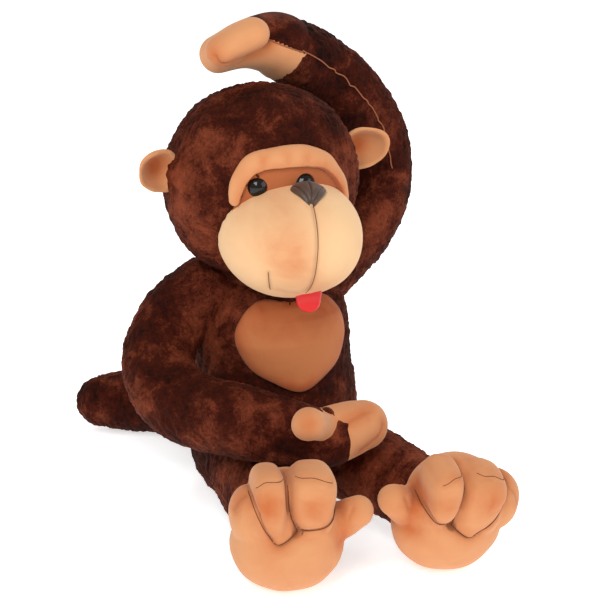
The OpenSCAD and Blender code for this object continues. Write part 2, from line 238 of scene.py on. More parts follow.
def satinMaterial(name):
    made, w, shader = newMaterial(name)
    place = w.node("ShaderNodeTexCoord", out=3)
    weave = w.node(
        "ShaderNodeTexWave", {"wave_type": "BANDS", "bands_direction": "DIAGONAL"},
        {"Vector": place, "Scale": 260.0, "Distortion": 1.5}
    )
    seam = w.node("ShaderNodeAttribute", {"attribute_name": "seam"}, out=2)
    shade = w.node("ShaderNodeTexNoise", None, {"Vector": place, "Scale": 90.0, "Detail": 3.0})
    colour = colourMix(w, shade, (0.03, 0.012, 0.005, 1), (0.1, 0.042, 0.017, 1))
    # painted groove shade: darker along the nose's pressed-in lines
    colour = colourMix(w, seam * 0.8, colour, (0.012, 0.005, 0.002, 1))
    bump = w.node("ShaderNodeBump", None, {"Strength": 0.3, "Distance": 0.0004, "Height": weave})
    feed(w, shader, Base_Color=colour, Normal=bump)
    shader.inputs["Roughness"].default_value = 0.4
    shader.inputs["Sheen Weight"].default_value = 0.2
    return made


plush = plushMaterial(
    "brownPlush", (0.0075, 0.0009, 0.0004), (0.045, 0.0058, 0.0017), (0.2, 0.043, 0.018)
)
velvet = velvetMaterial("tanVelvet", (0.61, 0.275, 0.12), (0.47, 0.115, 0.03), (0.16, 0.04, 0.014))
muzzleVelvet = velvetMaterial(
    "paleVelvet", (0.77, 0.49, 0.26), (0.58, 0.22, 0.09), (0.22, 0.07, 0.03), mottle=16.0
)
bellyVelvet = velvetMaterial(
    "bellyVelvet", (0.5, 0.17, 0.06), (0.36, 0.07, 0.018), (0.13, 0.03, 0.01), mottle=30.0
)
# a darker, more orange copy of the tan velvet as painted shade in the recess round the eyes
socketShadeVelvet = velvetMaterial("socketShadeVelvet", (0.4, 0.12, 0.04), (0.3, 0.07, 0.02), (0.15, 0.04, 0.015))
noseSatin = satinMaterial("noseSatin")
tongueFelt = glossMaterial("tongueFelt", (0.62, 0.008, 0.008), 0.42)
eyeGloss = glossMaterial("eyeGloss", (0.006, 0.004, 0.003), 0.05, 0.25)
eyeGloss.node_tree.nodes["Principled BSDF"].inputs["Specular IOR Level"].default_value = 0.25
washerPlastic = glossMaterial("washerPlastic", (0.75, 0.75, 0.72), 0.45)
# painted shadow: dark tubes laid in seam and fold grooves stand in for the shade inside them
grooveShadeMaterial = glossMaterial("darkGrooveShade", (0.11, 0.028, 0.011), 0.8)
pipingMaterial = glossMaterial("warmThread", (0.3, 0.09, 0.035), 0.8)
floorMaterial = glossMaterial("paleFloor", (0.95, 0.95, 0.95), 0.8)
floorMaterial.node_tree.nodes["Principled BSDF"].inputs["Emission Color"].default_value = (1, 1, 1, 1)
floorMaterial.node_tree.nodes["Principled BSDF"].inputs["Emission Strength"].default_value = 0.62
print("materials made")


def linkObject(name, mesh):
    obj = bpy.data.objects.new(name, mesh)
    bpy.context.scene.collection.objects.link(obj)
    return obj


def smoothShade(obj):
    obj.data.shade_smooth()


def station(path, s):
    i = min(int(s), len(path) - 2)
    t = s - i
    a, b, c, d = path[max(i - 1, 0)], path[i], path[i + 1], path[min(i + 2, len(path) - 1)]
    return 0.5 * (
        2 * b + (c - a) * t + (2 * a - 5 * b + 4 * c - d) * t * t + (3 * b - a - 3 * c + d) * t ** 3
    )


def heading(path, s):
    last = len(path) - 1
    d = station(path, min(s + 0.05, last))[:3] - station(path, max(s - 0.05, 0))[:3]
    return d / np.linalg.norm(d)


# a limb with round closed ends, path in mm
def tubeObject(name, path, up, first, last, sides=64, step=3.0):
    path = [np.array(p, float) for p in path]
    up = np.array(up, float)
    rings = []
    start, end = station(path, first), station(path, last)
    for k in range(1, 12):
        a = math.radians(-90 + 90 * k / 12)
        rings.append(
            (
                start[:3] + heading(path, first) * start[3] * math.sin(a), heading(path, first),
                start[3] * math.cos(a)
            )
        )
    length = sum(
        np.linalg.norm(
            station(
                path, first + (last - first) * (k + 1) / 50
            )[:3] - station(path, first + (last - first) * k / 50)[:3]
        )
        for k in range(50)
    )
    count = int(length / step)
    for k in range(count + 1):
        s = first + (last - first) * k / count
        q = station(path, s)
        rings.append((q[:3], heading(path, s), q[3]))
    for k in range(1, 12):
        a = math.radians(90 * k / 12)
        rings.append(
            (
                end[:3] + heading(path, last) * end[3] * math.sin(a), heading(path, last),
                end[3] * math.cos(a)
            )
        )
    bm = bmesh.new()
    rows = []
    for c, d, r in rings:
        u = np.cross(up, d)
        u /= np.linalg.norm(u)
        v = np.cross(d, u)
        row = []
        for k in range(sides):
            a = 2 * math.pi * k / sides
            row.append(bm.verts.new((c + r * (math.cos(a) * u + math.sin(a) * v)) * mm))
        rows.append(row)
    for a, b in zip(rows, rows[1:]):
        for k in range(sides):
            m = (k + 1) % sides
            bm.faces.new((a[k], a[m], b[m], b[k]))
    poleA = bm.verts.new((start[:3] - heading(path, first) * start[3]) * mm)
    poleB = bm.verts.new((end[:3] + heading(path, last) * end[3]) * mm)
    for k in range(sides):
        m = (k + 1) % sides
        bm.faces.new((rows[0][m], rows[0][k], poleA))
        bm.faces.new((rows[-1][k], rows[-1][m], poleB))
    mesh = bpy.data.meshes.new(name)
    bm.to_mesh(mesh)
    bm.free()
    return linkObject(name, mesh)


# an ellipsoid in mm; a power over 2 squares it a little
def ballObject(name, centre, radii, rows=48, sides=96, power=2.0):
    bm = bmesh.new()
    bmesh.ops.create_uvsphere(bm, u_segments=sides, v_segments=rows, radius=1)
    for v in bm.verts:
        n = (abs(v.co.x) ** power + abs(v.co.y) ** power + abs(v.co.z) ** power) ** (1 / power)
        v.co = Vector([(v.co[i] / n * radii[i] + centre[i]) * mm for i in range(3)])
    mesh = bpy.data.meshes.new(name)
    bm.to_mesh(mesh)
    bm.free()
    return linkObject(name, mesh)


def applyAll(obj):
    graph = bpy.context.evaluated_depsgraph_get()
    mesh = bpy.data.meshes.new_from_object(obj.evaluated_get(graph))
    old = obj.data
    obj.modifiers.clear()
    obj.data = mesh
    bpy.data.meshes.remove(old)
    return obj


def melt(name, parts, voxel, smooth=6, factor=0.5):  # joins closed shapes into one smooth skin
    bm = bmesh.new()
    for p in parts:
        bm.from_mesh(p.data)
        bpy.data.objects.remove(p)
    mesh = bpy.data.meshes.new(name)
    bm.to_mesh(mesh)
    bm.free()
    obj = linkObject(name, mesh)
    remesh = obj.modifiers.new("remesh", "REMESH")
    remesh.mode, remesh.voxel_size = "VOXEL", voxel * mm
    soften = obj.modifiers.new("soften", "SMOOTH")
    soften.iterations, soften.factor = smooth, factor
    return applyAll(obj)


def coords(obj):
    co = np.empty(len(obj.data.vertices) * 3)
    obj.data.vertices.foreach_get("co", co)
    return co.reshape(-1, 3)


def normals(obj):
    n = np.empty(len(obj.data.vertices) * 3)
    obj.data.vertices.foreach_get("normal", n)
    return n.reshape(-1, 3)


def putCoords(obj, co):
    obj.data.vertices.foreach_set("co", co.ravel())
    obj.data.update()


def paint(obj, name, values):
    layer = obj.data.attributes.get(name) or obj.data.attributes.new(name, "FLOAT", "POINT")
    old = np.zeros(len(obj.data.vertices), dtype=np.float32)
    layer.data.foreach_get("value", old)
    layer.data.foreach_set("value", np.maximum(old, values).astype(np.float32))


def onSurface(obj, line, steps=14):  # snaps a given line, in mm, to the skin
    tree = BVHTree.FromPolygons(
        [v.co for v in obj.data.vertices], [p.vertices for p in obj.data.polygons]
    )
    path = [np.array([*p, 0.0]) for p in line]
    out = []
    for k in range(steps * (len(line) - 1) + 1):
        out.append(np.array(tree.find_nearest(Vector(station(path, k / steps)[:3] * mm))[0]))
    return np.array(out)


def distanceTo(co, line):
    best = np.full(len(co), 1e9)
    for a, b in zip(line, line[1:]):
        d = b - a
        t = np.clip(((co - a) @ d) / max(d @ d, 1e-12), 0, 1)
        best = np.minimum(best, np.linalg.norm(co - a - t[:, None] * d, axis=1))
    return best


seamShadeRadius = 0.32  # mm, of the dark tube laid along a seam as painted seam shadow


def crease(
    obj, line, depth, width, dark=1.0, darkWidth=0.9, blush=0.0, warmShadeWidth=12.0, soft=0.0,
    softWidth=9.0
):
    line = onSurface(obj, line)  # a given seam or fold, pressed in and shaded
    co, n = coords(obj), normals(obj)
    d = distanceTo(co, line) / mm
    move = depth * np.exp(-(d / width) ** 2) + soft * np.exp(-(d / softWidth) ** 2)
    putCoords(obj, co - n * (move * mm)[:, None])
    # painted shade: a thin dark line down the groove, and warm shade spread either side
    paint(obj, "seam", dark * np.exp(-(d / darkWidth) ** 2))
    if blush:
        paint(obj, "blush", blush * np.exp(-(d / warmShadeWidth) ** 2))
    return [np.array([*(p / mm), seamShadeRadius]) for p in line]


def curve(line, steps=14):
    path = [np.array([*p], float) for p in line]
    return np.array([station(path, k / steps) for k in range(steps * (len(line) - 1) + 1)])


def frontCrease(
    obj, line, depth, width, dark=1.0, darkWidth=1.2, blush=0.0, warmShadeWidth=9.0, soft=0.0,
    softWidth=9.0, reach=-25, cord=0.0
):
    line = curve(line)  # (side, up) distances on a sole, as seen from the front
    co, n = coords(obj) / mm, normals(obj)
    flat = np.concatenate([line[:, :1], line[:, :1] * 0, line[:, 1:]], axis=1)
    d = distanceTo(co * np.array([1, 0, 1]), flat)
    near = 1 / (1 + np.exp((co[:, 1] - reach) / 3))
    move = (depth * np.exp(-(d / width) ** 2) + soft * np.exp(-(d / softWidth) ** 2)) * near
    putCoords(obj, (co - n * move[:, None]) * mm)
    # painted shade: a thin dark line down each groove and warm shade either side
    paint(obj, "seam", dark * np.exp(-(d / darkWidth) ** 2) * near)
    if blush:
        paint(obj, "blush", blush * np.exp(-(d / warmShadeWidth) ** 2) * near)
    # a dark tube laid along the groove as painted groove shadow
    if cord:
        tree = BVHTree.FromPolygons(
            [v.co for v in obj.data.vertices], [p.vertices for p in obj.data.polygons]
        )
        hits = [tree.ray_cast(Vector((x, -200, z)) * mm, Vector((0, 1, 0)))[0] for x, z in line]
        return [np.array([*(h / mm), cord]) for h in hits if h]
    return []


def cordObject(name, points):  # a thin round thread (piping), or a dark tube lying in a groove as painted groove shadow
    path = [p for k, p in enumerate(points) if k % 2 == 0 or k == len(points) - 1]
    return tubeObject(name, path, (0.31, 0.2, 0.93), 0, len(path) - 1, sides=8, step=1.2)


def splitOff(obj, away, name):  # moves some faces, picked by their middles, into a skin of their own
    middles = np.array([p.center for p in obj.data.polygons]) / mm
    chosen = away(middles)
    other = linkObject(name, obj.data.copy())
    for each, keep in ((obj, ~chosen), (other, chosen)):
        bm = bmesh.new()
        bm.from_mesh(each.data)
        bm.faces.ensure_lookup_table()
        bmesh.ops.delete(bm, geom=[bm.faces[int(k)] for k in np.flatnonzero(~keep)], context="FACES")
        bm.to_mesh(each.data)
        bm.free()
    return other


def lumps(obj, size, height, seed):  # soft unevenness of stuffing
    co, n = coords(obj), normals(obj)
    shift = Vector((seed * 3.1, seed * 1.7, seed * 0.9))
    amount = np.array([noise.noise(Vector(c) / (size * mm) + shift) for c in co])
    putCoords(obj, co + n * (amount * height * mm)[:, None])


pile = dict(size=5.0, height=1.8, middle=0.45, calmFrom=34, calmOver=25)


def nap(obj, seed, calm=None):  # short pile as real relief: clumps that lean down the skin
    finer = obj.modifiers.new("finer", "SUBSURF")
    finer.levels = 1
    applyAll(obj)
    co, n = coords(obj), normals(obj)
    shift = Vector((seed * 2.3, seed * 0.7, seed * 1.9))
    stretch = np.array([1.0, 1.0, 0.6]) / (pile["size"] * mm)
    amount = np.array([noise.turbulence(Vector(c) + shift, 2, False) for c in co * stretch])
    amount -= pile["middle"]
    if calm is not None:  # stays smooth near a cuff
        amount *= np.clip(
            (np.linalg.norm(co / mm - np.array(calm), axis=1) - pile["calmFrom"]) / pile["calmOver"],
            0.1, 1
        )
    putCoords(obj, co + n * (amount * pile["height"] * mm)[:, None])


def finishPiece(obj, material, body, nodes, blendTo=None):
    smoothShade(obj)
    obj.data.materials.clear()
    obj.data.materials.append(material)
    if blendTo:
        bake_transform(obj)
    else:
        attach(obj, body)
    if nodes:
        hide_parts(*nodes)


trunk = dict(seat=60, wide=89, height=240, lumpSize=60, lumpHeight=2.2)


def trunkRadius(z):
    t = trunk
    w = t["wide"]
    rows = [
        (0, t["seat"]), (6, t["seat"] + 11), (26, w - 4), (52, w), (86, w), (118, w - 3), (148, w - 8),
        (182, w - 10), (206, w - 15), (226, w - 26), (237, w - 40), (240, w - 50)
    ]
    return float(np.interp(z, [r[0] for r in rows], [r[1] for r in rows]))


def makeTrunk():
    path = [
        np.array([0, 0, z, trunkRadius(z)], float)
        for z in (0, 6, 16, 30, 52, 86, 118, 148, 182, 206, 224, 236, 240)
    ]
    bm = bmesh.new()
    rows, sides = [], 120
    for k in range(121):
        q = station(path, 12 * k / 120)
        rows.append(
            [
                bm.verts.new(
                    (
                        q[3] * math.cos(2 * math.pi * j / sides) * mm,
                        q[3] * math.sin(2 * math.pi * j / sides) * mm, q[2] * mm
                    )
                )
                for j in range(sides)
            ]
        )
    for a, b in zip(rows, rows[1:]):
        for j in range(sides):
            m = (j + 1) % sides
            bm.faces.new((a[j], a[m], b[m], b[j]))
    for row, flip in ((rows[0], True), (rows[-1], False)):
        pole = bm.verts.new(sum((v.co for v in row), Vector()) / sides)
        for j in range(sides):
            m = (j + 1) % sides
            bm.faces.new((row[m], row[j], pole) if flip else (row[j], row[m], pole))
    mesh = bpy.data.meshes.new("bodySkin")
    bm.to_mesh(mesh)
    bm.free()
    return linkObject("bodySkin", mesh)


bodySkin = makeTrunk()
lumps(bodySkin, trunk["lumpSize"], trunk["lumpHeight"], 1)
co = coords(bodySkin)
co[:, 2] = np.maximum(co[:, 2], 0)
putCoords(bodySkin, co)


# a padded patch laid on a surface, outline is (side, up) in mm
def shieldPatch(name, outline, surface, thick, rows=46, edge=0.5):
    ring, steps = [], 12
    count = len(outline)
    for k in range(count * steps):
        i, t = divmod(k, steps)
        t /= steps
        a, b, c, d = (np.array(outline[(i + j) % count], float) for j in (-1, 0, 1, 2))
        ring.append(
            0.5 * (
                2 * b + (c - a) * t + (
                    2 * a - 5 * b + 4 * c - d
                ) * t * t + (3 * b - a - 3 * c + d) * t ** 3
            )
        )
    ring = np.array(ring)
    middle = ring.mean(axis=0)
    bm = bmesh.new()
    front, back = [], []
    for r in range(rows + 1):
        f = r / rows
        rise = edge + (thick - edge) * (1 - (1 - min((1 - f) * 5, 1)) ** 2)
        loop = []
        for p in ring:
            q = middle + (p - middle) * f
            loop.append(bm.verts.new(Vector(surface(q[0], q[1], rise)) * mm))
            if r == 0:
                break
        front.append(loop)
    for p in ring:
        back.append(bm.verts.new(Vector(surface(p[0], p[1], -1.5)) * mm))
    n = len(ring)
    for j in range(n):
        bm.faces.new((front[0][0], front[1][j], front[1][(j + 1) % n]))
        for a, b in zip(front[1:], front[2:]):
            bm.faces.new((a[j], b[j], b[(j + 1) % n], a[(j + 1) % n]))
        bm.faces.new((front[-1][j], back[j], back[(j + 1) % n], front[-1][(j + 1) % n]))
    pole = bm.verts.new(Vector(surface(middle[0], middle[1], -1.5)) * mm)
    for j in range(n):
        bm.faces.new((back[(j + 1) % n], back[j], pole))
    bmesh.ops.recalc_face_normals(bm, faces=bm.faces)
    mesh = bpy.data.meshes.new(name)
    bm.to_mesh(mesh)
    bm.free()
    obj = linkObject(name, mesh)
    edgeLine = np.array([np.array(surface(p[0], p[1], edge)) for p in list(ring) + [ring[0]]]) * mm
    return obj, edgeLine


def onTrunk(x, z, rise):
    r = trunkRadius(z) + rise + 0.8
    return (r * math.sin(x / trunkRadius(z)), -r * math.cos(x / trunkRadius(z)), z)


belly = dict(
    outline=[
        (0, 224), (34, 226), (58, 208), (66, 186), (52, 160), (28, 145), (0, 134), (-28, 145),
        (-52, 160), (-66, 186), (-58, 208), (-34, 226)
    ],
    thick=3.2
)
bellySkin, bellyEdge = shieldPatch("bellyPatch", belly["outline"], onTrunk, belly["thick"])
# painted shade: warm shade along the sewn edge and across the top under the chin, and a thin dark line
# at the edge
d = distanceTo(coords(bellySkin), bellyEdge) / mm
paint(bellySkin, "blush", 0.7 * np.exp(-(d / 9) ** 2))
up = coords(bellySkin)[:, 2] / mm
paint(bellySkin, "blush", 0.75 * np.clip((up - 185) / 35, 0, 1))
paint(bellySkin, "seam", 0.6 * np.exp(-(d / 1.2) ** 2))
nap(bodySkin, 31)
finishPiece(bodySkin, plush, "torso", ["torso_cover", "torso_filling"])
finishPiece(bellySkin, bellyVelvet, "torso", ["belly_patch"])
neckSkin = ballObject("neckCollar", (-8, -5, 247), (50, 48, 24))
finishPiece(neckSkin, plush, "neck", ["neck_cover", "neck_filling"])
print("body made")

face = dict(middle=(-20, -10, 343), nod=8, turn=2, wide=100, deep=74, back=108, tall=92, shift=-18)
headPlace = Matrix.Translation(Vector(face["middle"]) * mm)
headPlace = headPlace @ Matrix.Rotation(math.radians(face["nod"]), 4, "X")
headPlace = headPlace @ Matrix.Rotation(math.radians(face["turn"]), 4, "Z")


def onHead(obj):
    obj.data.transform(headPlace)
    return obj


# a point on the front of the head from side and up distances, in the head's own mm
def onFace(x, z, rise):
    a, b, c = face["wide"], face["deep"], face["tall"] * (1.085 if z > 0 else 1)
    y = -math.sqrt(max(1 - (x / a) ** 2 - (z / c) ** 2, 0.01)) * b
    n = np.array([x / a ** 2, y / b ** 2, z / c ** 2])
    n /= np.linalg.norm(n)
    return (x + n[0] * rise, y + face["shift"] + n[1] * rise, z + n[2] * rise)


headSkin = ballObject("headSkin", (0, 0, 0), (1, 1, 1), rows=110, sides=200)
co = coords(headSkin) / mm
jowl = 1 + 0.26 * np.clip(-co[:, 2], 0, 1) ** 3
co[:, 0] *= face["wide"] * jowl
co[:, 1] = np.where(
    co[:, 1] < 0, co[:, 1] * face["deep"], co[:, 1] * face["back"]
) * jowl + face["shift"]
co[:, 2] *= face["tall"] * np.where(co[:, 2] > 0, 1.085, 1.0)
putCoords(headSkin, co * mm)
for line in (
    [(64, -62, 52), (72, -62, 28), (74, -62, 2), (70, -62, -24)],
    [(78, -48, 40), (84, -48, 14), (82, -48, -14)], [(58, -66, 62), (62, -62, 44)]
):
    # soft upright folds beside the brow
    crease(headSkin, line, 0.9, 3.0, dark=0.0, soft=1.2, softWidth=7)
crease(  # crown seam
    headSkin, [(-66, -50, 56), (-64, -38, 72), (-50, -22, 88), (-30, -8, 97)], 1.0, 3.0, dark=0.0,
    soft=1.6, softWidth=7
)
onHead(headSkin)
lumps(headSkin, 55, 2.0, 2)

snout = dict(middle=(3, -84, -29), size=(70, 72, 56.5), square=2.15, seamDepth=1.5)
muzzleSkin = ballObject(
    "muzzleSkin", snout["middle"], snout["size"], rows=120, sides=200, power=snout["square"]
)
muzzleSeams = [
    crease(
        muzzleSkin,
        [
            (8, -124, 19), (6, -136, 11), (3, -150, -7), (1, -156, -25), (0, -155, -40),
            (-1, -149, -53), (-3, -142, -63)
        ],
        snout["seamDepth"], 1.8, dark=0.3, darkWidth=1.6, blush=0.3, warmShadeWidth=14, soft=1.0,
        softWidth=8
    )
]
muzzleSeams.append(
    crease(
        muzzleSkin, [(-41, -139, -37), (-39, -137, -49), (-35, -132, -58)], 1.0, 1.8, dark=0.3,
        darkWidth=1.6, blush=0.2, warmShadeWidth=8, soft=0.5
    )
)
crease(
    muzzleSkin, [(-28, -136, -60), (-12, -139, -65), (6, -138, -67), (24, -133, -67)], 1.2, 4.0,
    dark=0.0, blush=0.4, warmShadeWidth=9, soft=0.8
)
# painted shade: a broad warm patch on the muzzle front and a smaller one low over the mouth
co = coords(muzzleSkin) / mm
paint(
    muzzleSkin, "blush",
    0.9 * np.exp(-((co[:, 0] + 22) / 24) ** 2 - ((co[:, 2] + 14) / 36) ** 2) * (co[:, 1] < -84)
)
paint(
    muzzleSkin, "blush",
    0.35 * np.exp(-((co[:, 0] - 3) / 22) ** 2 - ((co[:, 2] + 60) / 18) ** 2) * (co[:, 1] < -84)
)
# painted shadow: a dark tube in each muzzle seam groove
for k, points in enumerate(muzzleSeams):
    cord = onHead(cordObject("muzzleThread" + str(k), points))
    finishPiece(cord, grooveShadeMaterial, "head", [])
onHead(muzzleSkin)

socketOutline = [
    (-54, -8), (-52, 14), (-45, 30), (-30, 43), (0, 48), (30, 43), (46, 30), (56, 14), (57, -8),
    (0, -14)
]
socketSkin, _ = shieldPatch("eyeSocketPatch", socketOutline, onFace, 1.6)
# painted shade: warm shade over the whole recessed socket
paint(socketSkin, "blush", np.full(len(socketSkin.data.vertices), 0.4))
onHead(socketSkin)

brow = dict(
    flat=0.6, lift=1.5, overhang=4.5,
    path=[
        (-54, 14, 5.5), (-53, 22, 7), (-49, 34, 8), (-39, 46, 9.5), (-22, 51.5, 10.5), (0, 52.5, 11),
        (19, 50.5, 10.5), (36, 44, 9), (49, 31, 7.5), (58, 15, 6.5), (62, 0, 6)
    ]
)
lowRim = [
    (-48, 12), (-46, 20), (-42, 29), (-33, 38), (-18, 42.5), (0, 42), (17, 42), (32, 37.5), (44, 27),
    (53, 14), (57, 2)
]
browSkin = tubeObject(
    "browPatch", [np.array([*onFace(x, z, 0), r]) for x, z, r in brow["path"]], (0, 1, 0.001), 0,
    len(brow["path"]) - 1, sides=56, step=1.4
)
co = coords(browSkin) / mm
rim = np.array([onFace(x, z, 3) for x, z in lowRim])
scale = np.array([face["wide"], face["deep"], face["tall"] * 1.085])
offset = np.array([0, face["shift"], 0])
flat = (co - offset) / scale
size = np.linalg.norm(flat, axis=1)
d = distanceTo(co, rim)
d0 = np.exp(-(d / 7.5) ** 2)
height = (size - 1) * 74 * brow["flat"] + brow["lift"] + brow["overhang"] * d0 * (size > 0.99)
co = (flat / size[:, None]) * scale * (1 + height / 88)[:, None] + offset
putCoords(browSkin, co * mm)
# painted shade: warm shade along the brow's lower rim where it overhangs the eyes
paint(browSkin, "blush", 0.95 * np.exp(-(distanceTo(co, rim) / 6.0) ** 2))
for x, tall in ((-26, 8), (-4, 12), (15, 9)):  # puckers over the fold, each with painted warm shade
    top = onFace(x, 43 + tall, 8)
    crease(
        browSkin, [onFace(x - 1, 42, 7), onFace(x, 43 + tall * 0.5, 8), top], 0.8, 3.0, dark=0.0,
        blush=0.4, warmShadeWidth=6
    )
onHead(browSkin)
lumps(browSkin, 20, 0.9, 4)

snoutTip = dict(
    place=(11, -107, 24.5),
    outline=[
        (-3, -19), (7, -12), (16, -2), (20, 7), (18, 14), (8, 17), (-5, 17), (-14, 13), (-17, 5),
        (-11, -8)
    ],
    puff=6.0
)
along, over = np.array([0.06, 0.95, 0.3]), np.array([0.04, -0.3, 0.95])
across = np.cross(along, over)


def onSnout(x, v, rise):
    p = np.array(snoutTip["place"]) + across * x + along * v + over * (rise - (x * x + v * v) / 125)
    return tuple(p)


noseSkin, _ = shieldPatch("noseSkin", snoutTip["outline"], onSnout, 1.0, rows=44, edge=0.4)
co = coords(noseSkin) / mm
flat = np.stack(
    [(co - np.array(snoutTip["place"])) @ across, (co - np.array(snoutTip["place"])) @ along], axis=1
)
inner = np.clip(1 - ((flat[:, 0] - 1) / 20) ** 2 - (flat[:, 1] / 19) ** 2, 0, 1) ** 0.6
co += over * (snoutTip["puff"] * inner)[:, None]
for turn in (-50, -22, 8, 38):
    a = math.radians(turn)
    tip = np.array([-2.5, -17.0])
    line = np.array([tip, tip + np.array([math.sin(a), math.cos(a)]) * 28])
    d = distanceTo(flat, line)
    co -= over * (1.2 * np.exp(-(d / 1.2) ** 2) * (inner > 0))[:, None]
    # painted groove shade: a thin dark line down each pressed-in nose line
    paint(noseSkin, "seam", 0.9 * np.exp(-(d / 0.8) ** 2))
putCoords(noseSkin, co * mm)
onHead(noseSkin)

tongueOutline = [(-12, 8), (0, 9), (12, 8), (12.5, 0), (9, -8), (0, -11), (-9, -8), (-12.5, 0)]
tongueSkin, _ = shieldPatch(
    "tongueSkin", tongueOutline, lambda x, z, rise: (x, -rise - 0.03 * z * z, z), 2.6, rows=20, edge=1.2
)
tongueSkin.data.transform(
    Matrix.Translation(Vector((5, -133, -77)) * mm) @ Matrix.Rotation(math.radians(-12), 4, "X")
)
onHead(tongueSkin)

nap(headSkin, 32)
finishPiece(headSkin, plush, "head", ["head_cover", "head_filling"])
finishPiece(muzzleSkin, muzzleVelvet, "head", ["muzzle_cover", "muzzle_filling"])
finishPiece(socketSkin, socketShadeVelvet, "head", [])
finishPiece(browSkin, velvet, "head", ["brow_patch"])
finishPiece(noseSkin, noseSatin, "head", ["nose"])
finishPiece(tongueSkin, tongueFelt, "head", ["tongue"])
for name in ("left_eye", "right_eye"):
    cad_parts[name].data.materials.clear()
    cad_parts[name].data.materials.append(eyeGloss)
for name in ("left_eye_washer", "right_eye_washer"):
    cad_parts[name].data.materials.clear()
    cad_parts[name].data.materials.append(washerPlastic)

ear = dict(out=110, forward=22, up=24, wide=19, tall=19.5, bowl=16.0, rim=4.2, back=12.0, set=14)


def makeEar(side):  # a cupped ear, open to the front, with a soft rolled rim
    bm = bmesh.new()
    rows, sides = 44, 80
    grid = []
    for r in range(1, rows + 1):
        f = r / rows
        row = []
        for k in range(sides):
            a = 2 * math.pi * k / sides
            peak = 1 + 0.14 * math.exp(-((a - 0.62) / 0.45) ** 2) if a < math.pi else 1
            if f < 0.5:
                t = f * 2
                rad, depth = t, ear["bowl"] * (1 - t ** 2.4) - 3.0
            elif f < 0.64:
                t = (f - 0.5) / 0.14 * math.pi
                rad, depth = 1 + ear["rim"] / 20 * math.sin(t), -3.0 - 2.2 * math.sin(t) + 2.4 * (
                    1 - math.cos(t)
                )
            else:
                t = 1 - (f - 0.64) / 0.36
                rad, depth = t, 1.8 + ear["back"] * (1 - t ** 2.2)
            x, z = rad * ear["wide"] * peak * math.cos(a), rad * ear["tall"] * peak * math.sin(a)
            low = max(0, -z / 20)
            x -= 7.0 * low ** 2 * rad
            row.append(bm.verts.new(Vector((side * x, depth, z)) * mm))
        grid.append(row)
    pole = bm.verts.new(Vector((0, ear["bowl"] - 3.0, 0)) * mm)
    for k in range(sides):
        m = (k + 1) % sides
        bm.faces.new((grid[0][k], grid[0][m], pole))
        for a, b in zip(grid, grid[1:]):
            bm.faces.new((a[k], b[k], b[m], a[m]))
    bmesh.ops.remove_doubles(bm, verts=bm.verts, dist=0.00002)
    bmesh.ops.recalc_face_normals(bm, faces=bm.faces)
    name = ("left" if side > 0 else "right") + "Ear"
    mesh = bpy.data.meshes.new(name)
    bm.to_mesh(mesh)
    bm.free()
    obj = linkObject(name, mesh)
    co = coords(obj) / mm
    # painted shade: warm shade in the hollow of the cup
    inside = np.exp(-(co[:, 0] / 11) ** 2 - (co[:, 2] / 12) ** 2) * (co[:, 1] > -2)
    paint(obj, "blush", 1.0 * inside)
    # the root lies further back than the rim
    co[:, 1] += ear["set"] * (1 - (co[:, 0] * side + 20) / 40)
    putCoords(obj, co * mm)
    lumps(obj, 14, 0.8, 20 + side)
    obj.data.transform(Matrix.Translation(Vector((side * ear["out"], -ear["forward"], ear["up"])) * mm))
    return onHead(obj)


for side, word in ((1, "left"), (-1, "right")):
    earSkin = makeEar(side)
    finishPiece(earSkin, velvet, word + "_ear", [word + "_ear_back", word + "_ear_front"])
print("head made")

leftArm = [
    (66, 20, 229, 37), (107, 36, 258, 39), (134, 46, 304, 39), (131, 50, 358, 38), (100, 46, 405, 38),
    (65, 45, 436, 37), (21, 31, 464, 34), (-6, 22, 471, 28), (-29, 15, 471, 23), (-53, 8, 466, 19)
]
rightArm = [
    (-69, 11, 221, 36), (-105, 12, 190, 38), (-129, -14, 155, 37.5), (-120, -66, 131, 38),
    (-81, -128, 131, 37), (-39, -154, 123, 33), (-13, -162, 117, 29), (8, -162, 118, 29),
    (26, -161, 121, 27), (36, -160, 122, 25)
]
rightUp = (-0.57, -0.4, 0.72)
leftLeg = [
    (50, -58, 52, 42), (61, -112, 54, 43), (73, -164, 56, 40), (86, -216, 56, 36), (93, -246, 55, 36)
]
rightLeg = [
    (-50, -58, 52, 42), (-55, -110, 50, 42), (-61, -158, 48, 39), (-65, -202, 47, 36),
    (-68, -240, 47, 36)
]
tailPath = [
    (5, 92, 44, 34), (-35, 148, 38, 36), (-87, 186, 37, 36), (-121, 200, 35, 32), (-131, 204, 34, 29)
]


def sleeve(name, path, up, first, last, lumpSeed):
    obj = tubeObject(name, path, up, first, last, sides=72, step=2.6)
    lumps(obj, 38, 1.8, lumpSeed)
    return obj


def bendPoints(path, joint, reach):  # two points either side of a joint, reach mm from it along the path
    path = [np.array(p, float) for p in path]
    c, d = station(path, joint)[:3], heading(path, joint)
    return tuple((c - d * reach) * mm), tuple((c + d * reach) * mm)


